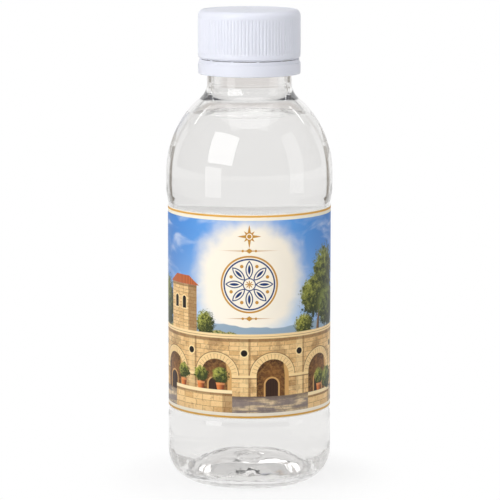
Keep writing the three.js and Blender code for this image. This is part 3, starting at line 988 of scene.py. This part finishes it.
def water():
    side = BODY_WALL - WATER_BITE
    floor = BASE_WALL - WATER_BITE
    skin = np.concatenate([
        [(0, PUSH_UP + floor)],
        base_skin(floor),
        [(STAND_INNER, floor)],
        body_skin(floor, side),
    ])[::-1]
    skin = cut_at(skin, BRIM)[1][::-1]
    brim = skin[-1, 0]
    inward = np.linspace(0, brim, MENISCUS_STEPS)
    ripple = RIPPLE_HEIGHT * np.sin(TURN * inward / RIPPLE_LENGTH) * np.exp(-inward / RIPPLE_REACH)
    rise = MENISCUS * np.exp(-inward / MENISCUS_WIDTH)
    top = np.c_[brim - inward, BRIM - MENISCUS + rise + ripple]
    piece = turned(
        "water_fill", [skin[:-1], top], BOTTLE_COLUMNS, [water_side, water_surface], (0, 1)
    )
    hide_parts("water")
    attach(piece, "bottle")


# The label

LABEL_SINK = 0.04 * MM
LAP_RAMP = 3 * MM


def label():
    inner = PANEL_RADIUS - LABEL_SINK
    outer = LABEL_RADIUS
    rows, columns = LABEL_ROWS, LABEL_COLUMNS
    lap = LAP_LENGTH * MM / inner
    ramp = LAP_RAMP / inner
    along = np.linspace(0, TURN + lap, columns)
    climb = smooth(np.clip((along - TURN + ramp) / ramp, 0, 1)) * (outer - inner)
    heights = np.linspace(LABEL_BOTTOM, LABEL_TOP, rows)
    angle = LAP_ANGLE - lap / 2 + along
    radius = np.array([inner, outer])[:, None, None] + climb
    places = radius * np.cos(angle), radius * np.sin(angle), heights[:, None]
    points = np.stack(np.broadcast_arrays(*places), -1).reshape(-1, 3)
    inside, outside = np.arange(2 * rows * columns).reshape(2, rows, columns)
    faces = np.concatenate([
        strips(outside[:-1], outside[1:]), strips(inside[1:], inside[:-1]),
        strips(inside[0], outside[0]), strips(outside[-1], inside[-1]),
        strips(outside[:, 0], inside[:, 0]), strips(inside[:, -1], outside[:, -1]),
    ])
    printed = (rows - 1) * (columns - 1)
    piece = new_mesh(
        "wrapped_label", points, faces.reshape(-1), np.full(len(faces), 4),
        [label_print, label_reverse], np.arange(len(faces)) >= printed,
    )
    print_map = piece.data.uv_layers.new(name="print")
    across = np.tile(along / (TURN + lap), rows * 2)
    upward = np.tile(np.repeat((heights - heights[0]) / (heights[-1] - heights[0]), columns), 2)
    spots = np.empty(len(piece.data.loops), np.int32)
    piece.data.loops.foreach_get("vertex_index", spots)
    print_map.data.foreach_set("uv", np.c_[across, upward][spots].astype(np.float32).ravel())
    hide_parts("label")
    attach(piece, "bottle")


# The cap

CAP_WALL = 1.3 * MM
CAP_TOP_WALL = 1.45 * MM
CAP_EDGE_WIDTH = 1.45 * MM
CAP_EDGE_HEIGHT = 1.9 * MM
SLIT_LAND_HEIGHT = 0.42 * MM
SLIT_LAND_STEP = 0.4 * MM
COLLAR_HEIGHT = 1.55 * MM
GROOVE_COUNT = 90
GROOVE_DEPTH = 0.26 * MM
GROOVE_SHARE = 0.42
CAP_BORE = CAP_RADIUS - CAP_WALL
CAP_THREAD_CREST = 12.95 * MM
GATE_MARK = 0.8 * MM


def cap():
    rim = CAP_RADIUS - CAP_EDGE_WIDTH
    edge_start = CAP_TOP - CAP_EDGE_HEIGHT
    groove_bottom = CAP_BOTTOM + SLIT_LAND_HEIGHT + COLLAR_HEIGHT - 0.2 * MM
    ceiling = CAP_TOP - CAP_TOP_WALL
    bore = closer(softened([
        (0, ceiling, 0),
        (CAP_BORE, ceiling, 0.6 * MM),
        (CAP_BORE, CAP_BOTTOM, 0),
    ], step=20), NECK_SPACING)
    collar = softened([
        (CAP_BORE, CAP_BOTTOM, 0),
        (CAP_RADIUS - SLIT_LAND_STEP, CAP_BOTTOM, 0.1 * MM),
        (CAP_RADIUS - SLIT_LAND_STEP, CAP_BOTTOM + SLIT_LAND_HEIGHT, 0.08 * MM),
        (CAP_RADIUS, CAP_BOTTOM + SLIT_LAND_HEIGHT, 0.12 * MM),
        (CAP_RADIUS, groove_bottom, 0),
    ], step=30)[1:-1]
    wall = np.r_[
        np.linspace(groove_bottom, groove_bottom + 0.5 * MM, 5),
        np.linspace(edge_start - 1.2 * MM, edge_start - 0.05 * MM, 9),
    ]
    turn = np.linspace(0, QUARTER, EDGE_STEPS)
    edge = np.c_[rim + CAP_EDGE_WIDTH * np.cos(turn), edge_start + CAP_EDGE_HEIGHT * np.sin(turn)]
    grip = np.concatenate([np.c_[np.full(len(wall), CAP_RADIUS), wall], edge[:GRIP_EDGE_STEPS]])
    top = np.concatenate([
        edge[GRIP_EDGE_STEPS:],
        softened([
            (rim - 0.1 * MM, CAP_TOP, 0.04 * MM),
            (rim - 0.22 * MM, CAP_TOP - 0.2 * MM, 0.05 * MM),
            (rim - 0.5 * MM, CAP_TOP - 0.2 * MM, 0.05 * MM),
            (rim - 0.62 * MM, CAP_TOP - 0.1 * MM, 0.05 * MM),
            (GATE_MARK * 2, CAP_TOP - 0.1 * MM, 0.5 * MM),
            (GATE_MARK * 1.3, CAP_TOP - 0.22 * MM, 0.2 * MM),
            (GATE_MARK * 0.6, CAP_TOP - 0.22 * MM, 0.1 * MM),
            (GATE_MARK * 0.5, CAP_TOP - 0.06 * MM, 0.06 * MM),
            (0, CAP_TOP - 0.06 * MM, 0),
        ], step=20),
    ])

    def grip_and_thread(stretch, radii, heights, angles):
        across = np.abs((angles * GROOVE_COUNT / TURN) % 1 - 0.5) * 2
        groove = smooth(np.clip(1 - across / GROOVE_SHARE, 0, 1))
        low = np.clip((heights - groove_bottom) / (0.25 * MM), 0, 1)
        high = np.clip((edge_start - 0.3 * MM - heights) / (0.5 * MM), 0, 1)
        ridge = helix_ridge(
            heights, angles, THREAD_START - THREAD_LEAD / 2, THREAD_TURNS, THREAD_LEAD,
            1.5 * MM, 0.6 * MM, RUN_OUT,
        )
        return (
            np.where(stretch == 2, -groove * low * high * GROOVE_DEPTH, 0)
            - np.where(stretch == 0, ridge * (CAP_BORE - CAP_THREAD_CREST), 0)
        )

    piece = turned(
        "screw_cap", [bore, collar, grip, top], GROOVE_COUNT * GROOVE_COLUMNS, [closure_plastic],
        (0, 0, 0, 0), grip_and_thread,
    )
    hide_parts("cap")
    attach(piece, "cap")


# The tamper band and the liner

BAND_HEIGHT = CAP_BOTTOM - SLIT_HEIGHT - BAND_BOTTOM
BAND_WALL = 0.95 * MM
BAND_BORE = CAP_RADIUS - BAND_WALL
SLIT_LAND_RADIUS = CAP_RADIUS - SLIT_LAND_STEP
BRIDGE_COUNT = 12
BRIDGE_PHASE = math.radians(10)
BRIDGE_FOOT_WIDTH = 0.95 * MM
BRIDGE_TIP_WIDTH = 0.55 * MM
BRIDGE_DEPTH = 0.5 * MM
BREAK_GAP = 0.05 * MM
SLIT_FILL = 0.5 * MM
FLAP_COUNT = 12
FLAP_WIDTH = 4.6 * MM
FLAP_THICKNESS = 0.4 * MM
FLAP_CLEARANCE = 0.4 * MM
FLAP_ROOT_HEIGHT = 0.75 * MM
FLAP_TIP = BAND_HEIGHT - BEAD_HEIGHT - 0.3 * MM


def ring_of_blocks(outline, along, widths, upright, count):
    """Blocks in a ring. Each is an outline carried along a line, made narrower about its middle by
    the widths at each step, with a face at each end. The outline lies across the radius, or where
    upright in the plane of the axis, and the blocks stand at equal turns from BRIDGE_PHASE."""
    middle = outline.mean(axis=0)
    n, steps = len(outline), len(along)
    rings = middle + (outline - middle)[None] * np.array(widths)[:, None, None]
    carried = np.broadcast_to(np.array(along)[:, None], (steps, n))
    if upright:
        out, aside, high = rings[..., 0], -carried, rings[..., 1]
    else:
        out, aside, high = carried, rings[..., 0], rings[..., 1]
    turn = (BRIDGE_PHASE - QUARTER + TURN * np.arange(count) / count)[:, None, None]
    points = np.stack([
        out * np.cos(turn) - aside * np.sin(turn),
        out * np.sin(turn) + aside * np.cos(turn),
        high + BAND_BOTTOM + 0 * turn,
    ], -1).reshape(-1, 3)
    numbers = np.arange(steps * n).reshape(steps, n)
    ends = np.r_[numbers[0, ::-1], numbers[-1]]
    numbers = np.pad(numbers, ((0, 0), (0, 1)), mode="wrap")
    sides = strips(numbers[:-1], numbers[1:]).reshape(-1)
    corners = np.r_[sides, ends][None, :] + (np.arange(count) * steps * n)[:, None]
    per_face = np.tile(np.r_[np.full((steps - 1) * n, 4), n, n], count)
    return points, corners.reshape(-1), per_face


def closed_outline(corners, rounding):
    """A closed outline through those corners, each rounded, from the middle of its last side."""
    first = (np.array(corners[-1]) + np.array(corners[0])) / 2
    rounded = [(*first, 0), *((*corner, rounding) for corner in corners), (*first, 0)]
    return softened(rounded, step=30)[:-1]


def tamper_band():
    """A ring whose foot and land have rounded edges, thin bridges on its top, each wide at its
    foot and thin where it breaks, and tongues that lean in and up from its foot."""
    top = BAND_BOTTOM + BAND_HEIGHT
    land = top + SLIT_FILL
    ring = closer(softened([
        (BAND_BORE, BAND_BOTTOM, 0),
        (CAP_RADIUS, BAND_BOTTOM, 0.35 * MM),
        (CAP_RADIUS, top - SLIT_LAND_HEIGHT, 0.12 * MM),
        (SLIT_LAND_RADIUS, top - SLIT_LAND_HEIGHT, 0.08 * MM),
        (SLIT_LAND_RADIUS, land, 0.08 * MM),
        (BAND_BORE, land, 0.08 * MM),
        (BAND_BORE, BAND_BOTTOM + BAND_HEIGHT / 2, 0),
    ], step=20), 0.6 * MM)
    piece = turned("tamper_ring", [ring], BOTTLE_COLUMNS, [closure_plastic], (0,))
    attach(piece, "band")
    bridge_top = BAND_HEIGHT + SLIT_HEIGHT - BREAK_GAP
    bridge = closed_outline([
        (-BRIDGE_FOOT_WIDTH / 2, BAND_HEIGHT - SLIT_LAND_HEIGHT / 2),
        (BRIDGE_FOOT_WIDTH / 2, BAND_HEIGHT - SLIT_LAND_HEIGHT / 2),
        (BRIDGE_FOOT_WIDTH / 2, BAND_HEIGHT),
        (BRIDGE_TIP_WIDTH / 2, bridge_top),
        (-BRIDGE_TIP_WIDTH / 2, bridge_top),
        (-BRIDGE_FOOT_WIDTH / 2, BAND_HEIGHT),
    ], 0.05 * MM)
    back = SLIT_LAND_RADIUS - BRIDGE_DEPTH
    deep = [back, back + 0.06 * MM, SLIT_LAND_RADIUS - 0.06 * MM, SLIT_LAND_RADIUS]
    bridges = ring_of_blocks(bridge, deep, (0.88, 1, 1, 0.88), False, BRIDGE_COUNT)
    tip = NECK_RADIUS + FLAP_CLEARANCE
    flap = closed_outline([
        (BAND_BORE + BAND_WALL / 2, 0.05 * MM),
        (BAND_BORE + BAND_WALL / 2, FLAP_ROOT_HEIGHT),
        (BAND_BORE - FLAP_THICKNESS / 2, FLAP_ROOT_HEIGHT),
        (tip + FLAP_THICKNESS, FLAP_TIP),
        (tip, FLAP_TIP),
        (BAND_BORE - FLAP_THICKNESS, 0.05 * MM),
    ], 0.1 * MM)
    half = FLAP_WIDTH / 2
    wide = [-half, 0.15 * MM - half, half - 0.15 * MM, half]
    flaps = ring_of_blocks(flap, wide, (0.94, 1, 1, 0.94), True, FLAP_COUNT)
    for name, blocks in (("tamper_bridges", bridges), ("tamper_tongues", flaps)):
        part = new_mesh(name, *blocks, [closure_plastic])
        part.data.shade_flat()
        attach(part, "band")
    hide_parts("tamper_band")


def liner():
    """A foam disc with rounded rims, and a shallow ring in its underside where the lip presses."""
    radius, low, high = liner_high[0], liner_low[2], liner_high[2]
    press, width, depth = NECK_RADIUS - NECK_WALL / 2, 1.1 * MM, 0.06 * MM
    disc = softened([
        (0, low, 0),
        (press - width, low, 0),
        (press - width / 2, low + depth, 0.3 * MM),
        (press + width / 2, low + depth, 0.3 * MM),
        (press + width, low, 0),
        (radius, low, 0.15 * MM),
        (radius, high, 0.15 * MM),
        (0, high, 0),
    ], step=15)
    piece = turned("sealing_liner", [closer(disc, 0.8 * MM)], BOTTLE_COLUMNS, [liner_foam], (0,))
    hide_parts("cap_liner")
    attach(piece, "liner")


# Stage and lights

KEEP_SHADE = 0.22
KEEP_NEAR = 0.024
KEEP_FAR = 0.048
FLOOR_HALF = 6.0


def floor_finish():
    """Plain white floor. Where it is seen it is plain white far off, and near the object it keeps
    a share of its real shading, so that shadows show."""
    finish = Finish("stage_floor")
    length = {"operation": "LENGTH"}
    out = finish.add("ShaderNodeVectorMath", length, {0: finish.place()}, output=1)
    shown = 1 - KEEP_SHADE * (1 - finish.rise(out, KEEP_NEAR, KEEP_FAR))
    shade = finish.add("ShaderNodeBsdfDiffuse", None, {"Color": white(0.95)})
    glow = finish.add("ShaderNodeEmission", None, {"Color": white(), "Strength": 1.0})
    share = finish.seen("Camera", "Glossy", "Transmission") * shown
    return finish.out(finish.add("ShaderNodeMixShader", None, {0: share, 1: shade, 2: glow}))


def floor():
    points = FLOOR_HALF * np.array([(-1, -1, 0), (1, -1, 0), (1, 1, 0), (-1, 1, 0)])
    piece = new_mesh("stage_floor", points, np.arange(4), np.array([4]), [floor_finish()])


def facing(piece, azimuth, elevation, distance, look_at, lean=0.0):
    """Puts a lamp at that azimuth, counted from the front towards +X as seen from above, that
    elevation and that distance from a point, turned to face it. It leans to its side by that
    angle."""
    a, e = math.radians(azimuth), math.radians(elevation)
    way = np.array([math.sin(a) * math.cos(e), -math.cos(a) * math.cos(e), math.sin(e)])
    piece.location = np.array(look_at) + distance * way
    upright = mathutils.Euler((QUARTER - e, 0, a)).to_matrix()
    leaning = mathutils.Matrix.Rotation(math.radians(lean), 3, "Z")
    piece.rotation_euler = (upright @ leaning).to_euler()


def softbox(name, azimuth, elevation, distance, width, height, radiance, look_at, lean=0.0):
    """A rectangular lamp that the bottle mirrors, and that isn't seen through it."""
    lamp = bpy.data.lights.new(name, "AREA")
    lamp.shape = "RECTANGLE"
    lamp.size = width
    lamp.size_y = height
    lamp.energy = radiance * math.pi * width * height
    piece = bpy.data.objects.new(name, lamp)
    facing(piece, azimuth, elevation, distance, look_at, lean)
    piece.visible_transmission = False
    bpy.context.collection.objects.link(piece)


HARD_EDGE = 0.1 * MM


def card(name, azimuth, distance, width, low, high, colour, soft=HARD_EDGE, seen_through=True):
    """An upright card that only the bottle's plastic and water show, or only mirror where it isn't
    seen through: it lights nothing, shades nothing and isn't seen by itself. Its upright edges
    fade into the back wall over the width soft."""
    a = math.radians(azimuth)
    middle = distance * np.array([math.sin(a), -math.cos(a)])
    half = width / 2 * np.array([math.cos(a), math.sin(a)])
    left, right = middle - half, middle + half
    points = np.array([(*left, low), (*right, low), (*right, high), (*left, high)])
    finish = Finish(name)
    x, y, _ = finish.split(finish.place())
    across = abs(x * math.cos(a) + y * math.sin(a))
    fade = finish.rise(across, width / 2 - soft, width / 2)
    colour = finish.blend(fade, colour, white(BRIGHT_WALL) if seen_through else colour)
    glow = finish.add("ShaderNodeEmission", None, {"Color": colour, "Strength": 1.0})
    piece = new_mesh(name, points, np.arange(4), np.array([4]), [finish.out(glow)])
    piece.visible_camera = piece.visible_diffuse = piece.visible_shadow = False
    piece.visible_transmission = seen_through


WORLD_LIGHT = 0.345
DIM_WALL = 0.28
BRIGHT_WALL = 0.95
BACK_WALL = math.radians(60)
BACK_WALL_TOP = math.radians(22)
CEILING_BOX = math.radians(55)
BLUR = math.radians(1.5)
BRIGHT_CEILING = 1.15
BRIGHT_WINDOW = 2.1
DIM_WINDOW = 1.0
WINDOWS = 14
WINDOW_UP = math.radians(40)
WINDOW_HALF_WIDTH = math.radians(8)
WINDOW_HALF_HEIGHT = math.radians(15)


def world():
    """A level light on the object, and plain white where the camera sees it directly. The clear
    plastic and the water show a studio: a bright back wall, dim walls and ceiling, a bright box
    overhead, and windows high up all round, brighter on the left, which the base and the shoulder
    bend into sparkles."""
    sky = bpy.data.worlds.new("studio")
    bpy.context.scene.world = sky
    sky.use_nodes = True
    graph = Graph(sky.node_tree)
    right, back, up = graph.split(graph.add("ShaderNodeTexCoord"))
    azimuth = graph.maths("ARCTAN2", right, back)
    elevation = graph.maths("ARCSINE", up)
    wall = graph.within(abs(azimuth) - BACK_WALL, BLUR)
    wall = wall * graph.within(elevation - BACK_WALL_TOP, BLUR)
    box = graph.rise(elevation, CEILING_BOX, CEILING_BOX + BLUR)
    studio = DIM_WALL + (BRIGHT_WALL - DIM_WALL) * wall + (BRIGHT_CEILING - DIM_WALL) * box
    off = graph.maths("PINGPONG", azimuth, TURN / WINDOWS / 2)
    window = graph.within(off - WINDOW_HALF_WIDTH, BLUR)
    window = window * graph.within(abs(elevation - WINDOW_UP) - WINDOW_HALF_HEIGHT, BLUR)
    daylight = DIM_WINDOW + (BRIGHT_WINDOW - DIM_WINDOW) * graph.within(azimuth, BLUR)
    shown = graph.seen("Glossy", "Transmission")
    strength = graph.largest(
        graph.seen("Camera"),
        shown * studio + (1 - shown) * WORLD_LIGHT,
        graph.seen("Transmission") * window * daylight,
    )
    glow = graph.add("ShaderNodeBackground", None, {"Color": white(), "Strength": strength})
    graph.add("ShaderNodeOutputWorld", None, {0: glow}, output=None)


bottle()
water()
label()
cap()
tamper_band()
liner()
floor()
world()

# In degrees and metres: name, azimuth, elevation, distance, width, height, radiance, the point
# that it faces, lean
for lamp in (
    ("key", -41.5, 28.5, 0.7, 0.47, 0.43, 4.0, (0, 0, 0.09)),
    ("fill", 68, 14, 0.6, 0.25, 0.56, 1.0, (0, 0, 0.09)),
    ("rim_left", -126, 40, 0.8, 0.035, 0.36, 4.5, (0, 0, 0.1), 40),
    ("rim_right", 126, 40, 0.8, 0.035, 0.36, 4.5, (0, 0, 0.1), -40),
    ("overhead", 0, 80, 1.3, 1.2, 1.2, 1.15, (0, 0, 0.09)),
):
    softbox(*lamp)

# In degrees and metres: name, azimuth, distance, width, lower edge, upper edge, colour, width
# of the soft edge, seen through or not
for sheet in (
    ("strip_left", -50, 0.45, 0.19, 0.0, 0.15, white(2.6), HARD_EDGE, False),
    ("flag_left", -134, 0.3, 0.056, 0.0, 0.5, (0.38, 0.345, 0.3, 1), 0.018),
    ("flag_right", 134, 0.3, 0.056, 0.0, 0.5, (0.3, 0.27, 0.235, 1), 0.018),
    ("neck_card", 180, 0.12, 0.07, 0.09, 0.112, (0.79, 0.76, 0.745, 1), 0.015),
    ("neck_flag_left", -143, 0.12, 0.06, 0.094, 0.115, (0.26, 0.24, 0.21, 1), 0.02),
    ("neck_flag_right", 143, 0.12, 0.06, 0.094, 0.115, (0.26, 0.24, 0.21, 1), 0.02),
):
    card(*sheet)

light_paths = bpy.context.scene.cycles
light_paths.max_bounces = 32
light_paths.glossy_bounces = 24
light_paths.transmission_bounces = 32

bpy.context.scene.view_settings.view_transform = "Standard"
